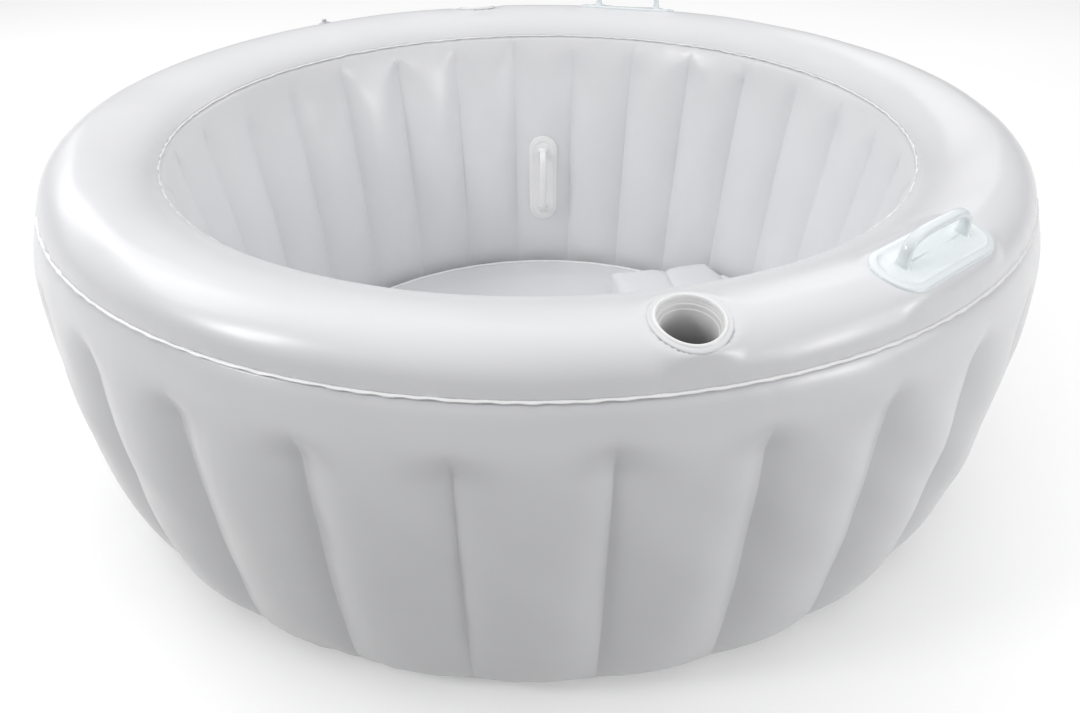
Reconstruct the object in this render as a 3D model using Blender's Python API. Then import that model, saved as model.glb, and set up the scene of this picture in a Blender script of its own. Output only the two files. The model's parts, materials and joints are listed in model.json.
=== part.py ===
"""Inflatable soaking tub of sheet vinyl: rim ring, ribbed double wall, air floor and seat.

The long axis is X and the seat is at the +X end. The ground is z = 0. Every wall is a sheet, and
the upright webs between the two walls pull each valley in and so form the ribs.
"""

import math

import bmesh
import bpy
import numpy as np
from mathutils import Matrix, Vector

# Plan: every ring is the seam ellipse grown or shrunk by an offset
SEAM_X = 0.86
SEAM_Y = 0.83
WALL_WIDTH = 0.185
BASE_IN = 0.042
# (distance in from the base seam, share of the seam's height) where the base curls up
BASE_CURL = ((0.085, 0.0), (0.040, 0.2), (0.0, 1.0))
FLOOR_IN = 0.070

# Heights
SEAM_Z = 0.578
INNER_SEAM_Z = 0.598
BASE_SEAM_Z = 0.030
FLOOR_Z = 0.030

# Ribs
RIBS = 28
COLUMNS_PER_RIB = 4
OUTER_RIB_DEPTH = 0.050
INNER_RIB_DEPTH = 0.036
OUTER_SWELL_POWER = 0.50
INNER_SWELL_POWER = 0.75
OUTER_VALLEY_SHARE = 0.45
INNER_VALLEY_SHARE = 0.30
OUTER_ROWS = (0.0, 0.04, 0.15, 0.35, 0.62, 0.85, 0.96, 1.0)
INNER_ROWS = (1.0, 0.90, 0.60, 0.20, 0.0)
OUTER_VALLEY_Z = 0.515
INNER_VALLEY_Z = 0.570
VALLEY_HEAD = 0.070

# Rim section: a steep outer and a long inner quarter ellipse that share a crest
RIM_MID = -0.070
RIM_OUT = 0.071
RIM_IN = 0.123
RIM_Z = 0.577
RIM_RISE = 0.065
RIM_ROWS = 10
RIM_COLUMNS = 4 * RIBS
RING_COLUMNS = 2 * RIBS
# The line round the rim that the cup holders and handles sit on
FITTING_LINE = -0.058
DIAPHRAGM_SAG = 0.070
DIAPHRAGM_ROWS = (0.0, 0.1, 0.3, 0.6, 1.0)

# Sheets and the clearances between them
SHEET = 0.0012
SEAM_GAP = 0.0020
REST_GAP = 0.0006
WELT_WIDTH = 0.006
WELT_OVERLAP = 0.001
WELT_HALF = 0.0014
WEB_GAP = 0.003
WEB_ROWS = (0.06, 0.15, 0.35, 0.62, 0.75)

# Floor and seat
FLOOR_CLEAR = 0.024
FLOOR_ROUND = 0.008
SEAT_FRONT = 0.240
SEAT_BOW = 0.020
SEAT_HALF_WIDTH = 0.300
SEAT_TOP = 0.108
SEAT_ROUND = 0.018
SEAT_CLEAR = 0.008

# Cup holders
CUP_ANGLE = math.radians(89.5)
CUP_RADIUS = 0.040
CUP_FLANGE = 0.008
CUP_SEGMENTS = 20
CUP_HOLE_CLEAR = 0.006
CUP_HOLE_REACH = 0.045
# (radius beyond the opening's, depth below the crest) down the pocket; no depth lies on the rim
CUP_STEPS = ((CUP_FLANGE, None), (0.001, None), (-0.001, 0.028), (-0.002, 0.040),
             (-0.005, 0.041), (-0.006, 0.058), (-0.009, 0.059), (-0.010, 0.076))

# Handles
RIM_HANDLE_ANGLE = math.radians(62)
RIM_HANDLE_LENGTH = 0.234
RIM_HANDLE_WIDTH = 0.084
WALL_HANDLE_RIB = 6
WALL_HANDLE_Z = 0.255
WALL_HANDLE_LENGTH = 0.220
WALL_HANDLE_WIDTH = 0.072
PATCH = 0.0018
PATCH_LIFT = 0.0020
PATCH_SEGMENTS = 24
PATCH_SIDE = 4
PATCH_SCALES = (1.0, 0.68, 0.34)
GRIP_RADIUS = 0.0075
GRIP_HALF = 0.073
GRIP_HEIGHT = 0.036
GRIP_POINTS = 15
GRIP_FOOT_GAP = 0.0022
GRIP_SQUARE_ALONG = 0.7
GRIP_SQUARE_UP = 0.55

# Valves
RIM_VALVE_ANGLE = math.radians(116)
RIM_VALVE_TURN = math.radians(30)
WALL_VALVE_RIB = 8
WALL_VALVE_Z = 0.330
FLOOR_VALVE_X = -0.100
FLOOR_VALVE_Y = -0.440
SEAT_VALVE_X = 0.360
VALVE_LIFT = 0.0030

# Screw valve, about its own axis; profiles are (radius, height) round each turned part
SCREW_SEGMENTS = 20
SCREW_BASE = ((0.0265, 0.0), (0.0265, 0.0018), (0.0200, 0.0022), (0.0200, 0.0075),
              (0.0165, 0.0075), (0.0165, -0.0110), (0.0190, -0.0110), (0.0190, 0.0))
SCREW_TOP = 0.0110
SCREW_INSERT = ((0.0195, 0.0081), (0.0195, SCREW_TOP), (0.0062, SCREW_TOP),
                (0.0062, -0.0080), (0.0158, -0.0080), (0.0158, 0.0081))
SCREW_CAP = 0.0150
SCREW_PLUG = 0.0054
SCREW_HINGE_X = 0.0225
SCREW_EAR_X = 0.0170
SCREW_EAR_Z = 0.0084
SCREW_HOLE = 0.0215

# Push valve
PUSH_SEGMENTS = 16
PUSH_TOP = 0.0060
PUSH_BASE = ((0.0160, 0.0), (0.0160, 0.0014), (0.0095, 0.0018), (0.0095, PUSH_TOP),
             (0.0052, PUSH_TOP), (0.0052, -0.0120), (0.0085, -0.0120), (0.0085, 0.0))
PUSH_CAP = 0.0090
PUSH_PLUG = 0.0044
PUSH_HINGE_X = 0.0135
PUSH_EAR_X = 0.0098
PUSH_EAR_Z = 0.0008
PUSH_POCKET = 0.0110
PUSH_POCKET_DEPTH = 0.018

# Flip lids and their hinges, measured from the face that a lid closes on
LID_UNDER = 0.0004
LID_TOP = 0.0026
PLUG_DEPTH = 0.0026
PLUG_TAPER = 0.0006
HINGE_RISE = 0.0010
BARREL_RADIUS = 0.0024
BARREL_HALF = 0.0030
BORE_RADIUS = 0.0014
BAR_RADIUS = 0.0009
ARM_OVERLAP = 0.003
ARM_BELOW = 0.0004
ARM_ABOVE = 0.0014
EAR_GAP = 0.0036
EAR_WIDTH = 0.0020
EAR_AHEAD = 0.0016

PALE_VINYL = (0.80, 0.80, 0.81)
HANDLE_VINYL = (0.83, 0.87, 0.89)
VALVE_PLASTIC = (0.78, 0.79, 0.80)


# ---------------------------------------------------------------- plan and section curves


def equal_arc_angles(count):
    """Angles that cut the seam ellipse into equal lengths, the first of them on +X."""
    fine = np.linspace(0.0, 2 * math.pi, 3601)
    steps = np.hypot(SEAM_X * np.diff(np.cos(fine)), SEAM_Y * np.diff(np.sin(fine)))
    length = np.concatenate([[0.0], np.cumsum(steps)])
    return np.interp(np.arange(count) / count * length[-1], length, fine)


def ring_point(angle, offset, z):
    return Vector(((SEAM_X + offset) * math.cos(angle), (SEAM_Y + offset) * math.sin(angle), z))


def ring_speed(angle, offset):
    """Plan distance along the ring for each radian of angle."""
    return math.hypot((SEAM_X + offset) * math.sin(angle), (SEAM_Y + offset) * math.cos(angle))


def smooth_step(low, high, value):
    t = min(max((value - low) / (high - low), 0.0), 1.0)
    return t * t * (3 - 2 * t)


def swell(share, power):
    """How far an inflated panel stands out between two welds: 0 at both, 1 half way."""
    return max(4 * share * (1 - share), 0.0) ** power


def valley_depth(valley_share, head_z, z):
    """How much of a rib's bulge the web takes away in the valley, fading out at its head."""
    return (1 - valley_share) * (1 - smooth_step(head_z - VALLEY_HEAD, head_z, z))


def outer_wall_offset(across, z):
    """Offset of the outer wall; across runs from -1 to 1 over one rib."""
    share = (z - BASE_SEAM_Z) / (SEAM_Z - BASE_SEAM_Z)
    rib = 1 - valley_depth(OUTER_VALLEY_SHARE, OUTER_VALLEY_Z, z) * across * across
    return -BASE_IN * (1 - share) + OUTER_RIB_DEPTH * swell(share, OUTER_SWELL_POWER) * rib


def inner_wall_offset(across, z):
    """Offset of the inner wall, whose ribs stand towards the middle of the tub."""
    share = z / INNER_SEAM_Z
    rib = 1 - valley_depth(INNER_VALLEY_SHARE, INNER_VALLEY_Z, z) * across * across
    bulge = INNER_RIB_DEPTH * swell(share, INNER_SWELL_POWER) * rib
    return -WALL_WIDTH - FLOOR_IN * (1 - share) - bulge


def rim_section(turn):
    """(offset, z) on the rim; turn is 0 outermost, a quarter turn at the crest."""
    half = RIM_OUT if math.cos(turn) > 0 else RIM_IN
    return RIM_MID + half * math.cos(turn), RIM_Z + RIM_RISE * math.sin(turn)


def plan_offset(x, y):
    """Offset of the ring that passes through this plan point."""
    low, high = -0.5, 0.2
    for _ in range(40):
        middle = (low + high) / 2
        outside = (x / (SEAM_X + middle)) ** 2 + (y / (SEAM_Y + middle)) ** 2 > 1
        low, high = (middle, high) if outside else (low, middle)
    return low


def rim_height(x, y):
    """Height of the rim's top surface over a plan point."""
    across = plan_offset(x, y) - RIM_MID
    half = RIM_OUT if across > 0 else RIM_IN
    return RIM_Z + RIM_RISE * math.sqrt(max(1 - (across / half) ** 2, 0.0))


# ---------------------------------------------------------------- mesh helpers


def clear_scene():
    for obj in list(bpy.data.objects):
        bpy.data.objects.remove(obj, do_unlink=True)


def make_material(name, color, roughness):
    material = bpy.data.materials.new(name)
    material.use_nodes = True
    shader = material.node_tree.nodes["Principled BSDF"]
    shader.inputs["Base Color"].default_value = (*color, 1.0)
    shader.inputs["Roughness"].default_value = roughness
    shader.inputs["Metallic"].default_value = 0.0
    return material


def add_object(name, mesh, material, smooth=True):
    obj = bpy.data.objects.new(name, mesh)
    bpy.context.scene.collection.objects.link(obj)
    mesh.materials.append(material)
    if smooth:
        mesh.shade_smooth()
        mesh.set_sharp_from_angle(angle=math.radians(40))
    return obj


def mesh_from(name, points, faces, closed=True):
    """A mesh from points and faces; a closed one gets its faces turned outwards."""
    work = bmesh.new()
    corners = [work.verts.new(point) for point in points]
    for face in faces:
        work.faces.new([corners[i] for i in face])
    if closed:
        bmesh.ops.recalc_face_normals(work, faces=work.faces)
    mesh = bpy.data.meshes.new(name)
    work.to_mesh(mesh)
    work.free()
    return mesh


def grid_faces(rows, columns, wrap_rows=False):
    """Quads of a grid that is closed along its columns, and along its rows too if asked."""
    faces = []
    for row in range(rows if wrap_rows else rows - 1):
        above = (row + 1) % rows
        for column in range(columns):
            beside = (column + 1) % columns
            faces.append(
                (
                    row * columns + column,
                    row * columns + beside,
                    above * columns + beside,
                    above * columns + column,
                )
            )
    return faces


def first_cap(count):
    return tuple(reversed(range(count)))


def last_cap(rows, count):
    return tuple((rows - 1) * count + i for i in range(count))


def stacked_mesh(name, rings):
    """A closed body through a stack of closed rings, with a cap on its first and last."""
    count = len(rings[0])
    faces = grid_faces(len(rings), count)
    faces += [first_cap(count), last_cap(len(rings), count)]
    return mesh_from(name, [point for ring in rings for point in ring], faces)


def sheet_object(name, rings, material, thickness=SHEET, close_first=False, close_last=False):
    """A thin sheet through a stack of closed rings, with an end ring filled where asked."""
    count = len(rings[0])
    faces = grid_faces(len(rings), count)
    if close_last:
        faces.append(last_cap(len(rings), count))
    if close_first:
        faces.append(first_cap(count))
    points = [point for ring in rings for point in ring]
    obj = add_object(name, mesh_from(name, points, faces, closed=False), material)
    solidify = obj.modifiers.new("sheet", "SOLIDIFY")
    solidify.thickness = thickness
    solidify.offset = -1.0
    solidify.use_even_offset = True
    return obj


def closed_tube(name, sections, material):
    """A closed ring body: one closed section at each angle."""
    points = [point for section in sections for point in section]
    faces = grid_faces(len(sections), len(sections[0]), wrap_rows=True)
    return add_object(name, mesh_from(name, points, faces), material)


def turned_mesh(name, profile, segments):
    """A body turned about its own Z from (radius, z) points; radius 0 ends it on the axis."""
    points, rows = [], []
    for radius, z in profile:
        if radius == 0:
            rows.append([len(points)] * segments)
            points.append(Vector((0, 0, z)))
            continue
        rows.append(list(range(len(points), len(points) + segments)))
        for i in range(segments):
            turn = 2 * math.pi * i / segments
            points.append(Vector((radius * math.cos(turn), radius * math.sin(turn), z)))
    on_axis = profile[0][0] == 0
    faces = []
    for k in range(len(rows) - 1 if on_axis else len(rows)):
        first, second = rows[k], rows[(k + 1) % len(rows)]
        for i in range(segments):
            j = (i + 1) % segments
            corners = [first[i], first[j], second[j], second[i]]
            faces.append(tuple(dict.fromkeys(corners)))
    return mesh_from(name, points, faces)


def box_mesh(name, low, high):
    xs, ys, zs = zip(low, high)
    points = [Vector((x, y, z)) for x in xs for y in ys for z in zs]
    faces = ((0, 1, 3, 2), (4, 6, 7, 5), (0, 4, 5, 1), (2, 3, 7, 6), (0, 2, 6, 4), (1, 5, 7, 3))
    return mesh_from(name, points, faces)


def rod_mesh(name, radius, start, end, segments=10):
    """A plain round rod between two points."""
    start, end = Vector(start), Vector(end)
    length = (end - start).length
    mesh = turned_mesh(name, [(0, 0), (radius, 0), (radius, length), (0, length)], segments)
    turn = Vector((0, 0, 1)).rotation_difference(end - start).to_matrix().to_4x4()
    mesh.transform(Matrix.Translation(start) @ turn)
    return mesh


def combine(obj, mesh, operation):
    """Adds a Boolean with a hidden helper object that shares the target's placing."""
    helper = bpy.data.objects.new(mesh.name, mesh)
    bpy.context.scene.collection.objects.link(helper)
    helper.matrix_world = obj.matrix_world
    helper.hide_render = True
    helper.display_type = "WIRE"
    boolean = obj.modifiers.new(mesh.name, "BOOLEAN")
    boolean.operation = operation
    boolean.solver = "EXACT"
    boolean.object = helper


def axis_frame(origin, z_axis, x_hint):
    """A frame at origin with its Z along z_axis and its X as near x_hint as it can be."""
    z_axis = Vector(z_axis).normalized()
    x_axis = (Vector(x_hint) - z_axis * z_axis.dot(Vector(x_hint))).normalized()
    y_axis = z_axis.cross(x_axis)
    frame = Matrix((x_axis, y_axis, z_axis)).transposed().to_4x4()
    return Matrix.Translation(Vector(origin)) @ frame


# ---------------------------------------------------------------- the air-holding sheets


def wall_columns():
    """(angle, across) for each column of a ribbed wall, four columns to a rib."""
    count = RIBS * COLUMNS_PER_RIB
    columns = []
    for i, angle in enumerate(equal_arc_angles(count)):
        step = (i + COLUMNS_PER_RIB // 2) % COLUMNS_PER_RIB - COLUMNS_PER_RIB // 2
        columns.append((angle, 2 * step / COLUMNS_PER_RIB))
    return columns


def build_outer_wall(material):
    low, high = BASE_SEAM_Z + SEAM_GAP, SEAM_Z - SEAM_GAP
    rings = []
    for share in OUTER_ROWS:
        z = low + (high - low) * share
        rings.append([ring_point(a, outer_wall_offset(s, z), z) for a, s in wall_columns()])
    return sheet_object("outer_wall_skin", rings, material)


def build_inner_wall(material):
    low, high = SHEET + 2 * SEAM_GAP, INNER_SEAM_Z - SEAM_GAP
    rings = []
    for share in INNER_ROWS:
        z = low + (high - low) * share
        rings.append([ring_point(a, inner_wall_offset(s, z), z) for a, s in wall_columns()])
    return sheet_object("inner_wall_skin", rings, material)


def build_rim(material):
    start = math.asin((SEAM_Z + SEAM_GAP - RIM_Z) / RIM_RISE)
    end = math.pi - math.asin((INNER_SEAM_Z + 2 * SEAM_GAP - RIM_Z) / RIM_RISE)
    rings = []
    for row in range(RIM_ROWS + 1):
        offset, z = rim_section(start + (end - start) * row / RIM_ROWS)
        rings.append([ring_point(a, offset, z) for a in equal_arc_angles(RIM_COLUMNS)])
    return sheet_object("rim_skin", rings, material)


def build_diaphragm(material):
    rings = []
    for share in DIAPHRAGM_ROWS:
        offset = -SEAM_GAP * 3 + (6 * SEAM_GAP - WALL_WIDTH) * share
        chord = SEAM_Z + (INNER_SEAM_Z - SEAM_Z) * share
        z = chord - DIAPHRAGM_SAG * 4 * share * (1 - share)
        rings.append([ring_point(a, offset, z) for a in equal_arc_angles(RING_COLUMNS)])
    return sheet_object("rim_diaphragm", rings, material)


def build_base(material):
    """Flat on the ground, curling up at its edge to meet the wall in the base seam."""
    edge = BASE_SEAM_Z - SEAM_GAP - SHEET
    rings = []
    for back, rise in BASE_CURL:
        offset, z = -BASE_IN - back, rise * edge
        rings.append([ring_point(a, offset, z) for a in equal_arc_angles(RING_COLUMNS)])
    return sheet_object("base_sheet", rings, material, close_first=True)


def build_webs(material):
    """An upright sheet behind every valley, short of both ends so that air passes over it."""
    for number, angle in enumerate(equal_arc_angles(2 * RIBS)[1::2], start=1):
        side = Vector((-math.sin(angle), math.cos(angle), 0)) * SHEET / 2
        rings = []
        for share in WEB_ROWS:
            z = BASE_SEAM_Z + (SEAM_Z - BASE_SEAM_Z) * share
            outer = ring_point(angle, outer_wall_offset(1, z) - SHEET - WEB_GAP, z)
            inner = ring_point(angle, inner_wall_offset(1, z) + SHEET + WEB_GAP, z)
            rings.append((outer - side, outer + side, inner + side, inner - side))
        name = f"wall_web_{number:02d}"
        add_object(name, stacked_mesh(name, rings), material, smooth=False)


def build_welt(name, offset, z, outwards, material):
    """A thin flat welded edge all round, standing out from the seam."""
    section = ((0, -WELT_HALF), (outwards * WELT_WIDTH, -WELT_HALF / 2),
               (outwards * WELT_WIDTH, WELT_HALF / 2), (0, WELT_HALF))
    rings = []
    for angle in equal_arc_angles(RING_COLUMNS):
        rings.append([ring_point(angle, offset + across, z + up) for across, up in section])
    return closed_tube(name, rings, material)


# ---------------------------------------------------------------- floor and seat


def rounded_slab(name, outline, low, high, radius, material):
    """An outline extruded from low to high, with its top edge rounded in three steps."""
    rings = []
    middle = sum((Vector(point) for point in outline), Vector((0, 0))) / len(outline)
    for inset, z in (
        (0.0, low),
        (0.0, high - radius),
        (radius * (1 - math.cos(math.pi / 4)), high - radius * (1 - math.sin(math.pi / 4))),
        (radius, high),
    ):
        ring = []
        for point in outline:
            arm = Vector(point) - middle
            shrunk = middle + arm * (1 - inset / arm.length)
            ring.append(Vector((shrunk.x, shrunk.y, z)))
        rings.append(ring)
    return add_object(name, stacked_mesh(name, rings), material)


def build_floor(material):
    outline = []
    for angle in equal_arc_angles(RING_COLUMNS):
        point = ring_point(angle, -WALL_WIDTH - FLOOR_IN - FLOOR_CLEAR, 0)
        outline.append((point.x, point.y))
    return rounded_slab("floor_cushion", outline, SHEET + REST_GAP, FLOOR_Z, FLOOR_ROUND, material)


def seat_outline():
    """Bowed front edge, straight sides, and a back that follows the inner wall."""
    back_offset = inner_wall_offset(0, SEAT_TOP) - SEAT_CLEAR
    half_x, half_y = SEAM_X + back_offset, SEAM_Y + back_offset
    outline = []
    steps = 6
    for i in range(steps + 1):
        y = SEAT_HALF_WIDTH * (1 - 2 * i / steps)
        outline.append((SEAT_FRONT - SEAT_BOW * (1 - (y / SEAT_HALF_WIDTH) ** 2), y))
    reach = math.asin(SEAT_HALF_WIDTH / half_y)
    for i in range(steps + 1):
        angle = -reach + 2 * reach * i / steps
        outline.append((half_x * math.cos(angle), half_y * math.sin(angle)))
    return outline


def build_seat(material):
    low = FLOOR_Z + REST_GAP
    return rounded_slab("seat_cushion", seat_outline(), low, SEAT_TOP, SEAT_ROUND, material)


# ---------------------------------------------------------------- cup holders


def build_cup_holder(name, angle, rim, material):
    """A stepped pocket whose flange lies on the rim, and the round opening for it."""
    centre = ring_point(angle, FITTING_LINE, 0)
    rings = []
    for beyond, depth in CUP_STEPS:
        radius = CUP_RADIUS + beyond
        ring = []
        for i in range(CUP_SEGMENTS):
            turn = 2 * math.pi * i / CUP_SEGMENTS
            x = centre.x + radius * math.cos(turn)
            y = centre.y + radius * math.sin(turn)
            z = rim_height(x, y) + PATCH_LIFT + SHEET if depth is None else RIM_Z + RIM_RISE - depth
            ring.append(Vector((x, y, z)))
        rings.append(ring)
    sheet_object(name, rings, material, close_last=True)
    crest = Matrix.Translation((centre.x, centre.y, RIM_Z + RIM_RISE))
    radius = CUP_RADIUS + CUP_HOLE_CLEAR
    cut_round(rim, f"{name}_hole", radius, -CUP_HOLE_REACH, CUP_HOLE_REACH, crest, CUP_SEGMENTS)


# ---------------------------------------------------------------- handles


def patch_outline(length, width):
    """(along, across) round an oval: two half round ends and points along the straight sides."""
    straight = (length - width) / 2
    half_turn = PATCH_SEGMENTS // 2
    outline = []
    for end in (1, -1):
        for i in range(half_turn + 1):
            turn = math.pi * (i / half_turn - 0.5)
            along = straight + width / 2 * math.cos(turn)
            outline.append((end * along, end * width / 2 * math.sin(turn)))
        for i in range(1, PATCH_SIDE):
            outline.append((end * straight * (1 - 2 * i / PATCH_SIDE), end * width / 2))
    return outline


def build_patch(name, spot, length, width, material):
    """An oval patch that follows a surface; spot(along, across, lift) gives its points."""
    outline = patch_outline(length, width)
    count, rings = len(outline), len(PATCH_SCALES)
    points = []
    for lift in (PATCH_LIFT, PATCH_LIFT + PATCH):
        for scale in PATCH_SCALES:
            points += [spot(a * scale, b * scale, lift) for a, b in outline]
        points.append(spot(0, 0, lift))
    upper = rings * count + 1
    faces = []
    for i in range(count):
        j = (i + 1) % count
        faces.append((i, j, upper + j, upper + i))
        for base in (0, upper):
            for ring in range(rings - 1):
                outer, inner = base + ring * count, base + (ring + 1) * count
                faces.append((outer + i, outer + j, inner + j, inner + i))
            last = base + (rings - 1) * count
            faces.append((last + i, last + j, base + rings * count))
    return add_object(name, mesh_from(name, points, faces), material)


def build_grip(name, spot, material):
    """A bar on two legs: a squared arch swept with a round section."""
    curve = bpy.data.curves.new(name, "CURVE")
    curve.dimensions = "3D"
    curve.bevel_depth = GRIP_RADIUS
    curve.bevel_resolution = 2
    curve.use_fill_caps = True
    spline = curve.splines.new("POLY")
    spline.points.add(GRIP_POINTS - 1)
    foot = PATCH_LIFT + PATCH + GRIP_FOOT_GAP
    for i, point in enumerate(spline.points):
        turn = math.pi * i / (GRIP_POINTS - 1)
        along = GRIP_HALF * math.copysign(abs(math.cos(turn)) ** GRIP_SQUARE_ALONG, math.cos(turn))
        rise = foot + GRIP_HEIGHT * max(math.sin(turn), 0.0) ** GRIP_SQUARE_UP
        point.co = (*spot(along, 0, rise), 1)
    curve.materials.append(material)
    bpy.context.scene.collection.objects.link(bpy.data.objects.new(name, curve))


def build_rim_handle(name, angle, material):
    centre = ring_point(angle, FITTING_LINE, 0)
    ahead = ring_point(angle + 0.01, FITTING_LINE, 0) - centre
    ahead.normalize()
    aside = Vector((ahead.y, -ahead.x, 0))

    def spot(along, across, lift):
        point = centre + ahead * along + aside * across
        return Vector((point.x, point.y, rim_height(point.x, point.y) + lift))

    build_patch(f"{name}_patch", spot, RIM_HANDLE_LENGTH, RIM_HANDLE_WIDTH, material)
    build_grip(f"{name}_grip", spot, material)


def build_wall_handle(name, rib, material):
    angle = equal_arc_angles(RIBS)[rib]
    half_rib = math.pi / RIBS

    def spot(along, across, lift):
        z = WALL_HANDLE_Z + along
        here = angle + across / ring_speed(angle, -WALL_WIDTH - FLOOR_IN)
        offset = inner_wall_offset((here - angle) / half_rib, z) - lift
        return ring_point(here, offset, z)

    build_patch(f"{name}_patch", spot, WALL_HANDLE_LENGTH, WALL_HANDLE_WIDTH, material)
    build_grip(f"{name}_grip", spot, material)


# ---------------------------------------------------------------- valves


def hinged_flap(name, frame, radius, plug, hinge_x, top, material, segments):
    """A lid with a short plug below it, on a barrel at hinge_x; its origin is on the barrel."""
    upper, under = top + LID_TOP, top + LID_UNDER
    profile = ((0, upper), (radius, upper), (radius, under), (plug, under),
               (plug - PLUG_TAPER, top - PLUG_DEPTH), (0, top - PLUG_DEPTH))
    lid = turned_mesh(name, profile, segments)
    axis_z = top + HINGE_RISE
    arm = box_mesh(
        f"{name}_arm",
        (radius - ARM_OVERLAP, -BARREL_HALF, axis_z - ARM_BELOW),
        (hinge_x, BARREL_HALF, axis_z + ARM_ABOVE),
    )
    barrel = hinge_rod(f"{name}_barrel", BARREL_RADIUS, BARREL_HALF, hinge_x, axis_z)
    bore = hinge_rod(f"{name}_bore", BORE_RADIUS, 2 * BARREL_HALF, hinge_x, axis_z)
    to_hinge = Matrix.Translation((-hinge_x, 0, -axis_z))
    for mesh in (lid, arm, barrel, bore):
        mesh.transform(to_hinge)
    obj = add_object(name, lid, material)
    obj.matrix_world = frame @ to_hinge.inverted()
    combine(obj, arm, "UNION")
    combine(obj, barrel, "UNION")
    combine(obj, bore, "DIFFERENCE")


def hinge_rod(name, radius, half, hinge_x, axis_z):
    return rod_mesh(name, radius, (hinge_x, -half, axis_z), (hinge_x, half, axis_z))


def add_ears(obj, hinge_x, inner_x, low, top):
    """Two ears and the bar between them, which a flap's barrel turns on."""
    for side, label in ((-1, "left"), (1, "right")):
        inner, outer = sorted((side * EAR_GAP, side * (EAR_GAP + EAR_WIDTH)))
        high_corner = (hinge_x + EAR_AHEAD, outer, top + LID_TOP)
        ear = box_mesh(f"{obj.name}_ear_{label}", (inner_x, inner, low), high_corner)
        combine(obj, ear, "UNION")
    half = EAR_GAP + EAR_WIDTH / 2
    bar = hinge_rod(f"{obj.name}_bar", BAR_RADIUS, half, hinge_x, top + HINGE_RISE)
    combine(obj, bar, "UNION")


def cut_round(obj, name, radius, low, high, frame, segments):
    """A round hole along the Z of a frame."""
    profile = ((0, low), (radius, low), (radius, high), (0, high))
    hole = turned_mesh(name, profile, segments)
    hole.transform(frame)
    combine(obj, hole, "DIFFERENCE")


def turned_object(name, profile, segments, frame, material):
    obj = add_object(name, turned_mesh(name, profile, segments), material)
    obj.matrix_world = frame
    return obj


def build_screw_valve(name, frame, skin, material):
    """Glued base, screw-in insert with a check bore, and a flip cap on the insert."""
    turned_object(f"{name}_base", SCREW_BASE, SCREW_SEGMENTS, frame, material)
    insert = turned_object(f"{name}_insert", SCREW_INSERT, SCREW_SEGMENTS, frame, material)
    add_ears(insert, SCREW_HINGE_X, SCREW_EAR_X, SCREW_EAR_Z, SCREW_TOP)
    hinged_flap(
        f"{name}_cap", frame, SCREW_CAP, SCREW_PLUG, SCREW_HINGE_X, SCREW_TOP, material,
        SCREW_SEGMENTS,
    )
    cut_round(skin, f"{name}_hole", SCREW_HOLE, -SCREW_HOLE, SCREW_TOP, frame, SCREW_SEGMENTS)


def build_push_valve(name, frame, cushion, material):
    """Flange with a short tube, and a push-in stopper hinged on it."""
    base = turned_object(f"{name}_base", PUSH_BASE, PUSH_SEGMENTS, frame, material)
    add_ears(base, PUSH_HINGE_X, PUSH_EAR_X, PUSH_EAR_Z, PUSH_TOP)
    hinged_flap(
        f"{name}_stopper", frame, PUSH_CAP, PUSH_PLUG, PUSH_HINGE_X, PUSH_TOP, material,
        PUSH_SEGMENTS,
    )
    cut_round(
        cushion, f"{name}_pocket", PUSH_POCKET, -PUSH_POCKET_DEPTH, PUSH_TOP, frame, PUSH_SEGMENTS
    )


def build_valves(rim, wall, floor, seat, material):
    turn = RIM_VALVE_TURN
    offset, z = rim_section(turn)
    radial = Vector((math.cos(RIM_VALVE_ANGLE), math.sin(RIM_VALVE_ANGLE), 0))
    normal = radial * math.cos(turn) / RIM_OUT + Vector((0, 0, 1)) * math.sin(turn) / RIM_RISE
    normal.normalize()
    spot = ring_point(RIM_VALVE_ANGLE, offset, z) + normal * VALVE_LIFT
    build_screw_valve("rim_valve", axis_frame(spot, normal, (0, 0, 1)), rim, material)

    angle = equal_arc_angles(RIBS)[WALL_VALVE_RIB]
    outward = Vector((math.cos(angle), math.sin(angle), 0))
    spot = ring_point(angle, outer_wall_offset(0, WALL_VALVE_Z) + VALVE_LIFT, WALL_VALVE_Z)
    build_screw_valve("wall_valve", axis_frame(spot, outward, (0, 0, 1)), wall, material)

    spot = (FLOOR_VALVE_X, FLOOR_VALVE_Y, FLOOR_Z + REST_GAP)
    build_push_valve("floor_valve", axis_frame(spot, (0, 0, 1), (1, 0, 0)), floor, material)

    spot = (SEAT_VALVE_X, -SEAT_HALF_WIDTH - REST_GAP, (FLOOR_Z + SEAT_TOP) / 2)
    build_push_valve("seat_valve", axis_frame(spot, (0, -1, 0), (0, 0, 1)), seat, material)


# ---------------------------------------------------------------- the whole tub


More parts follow.
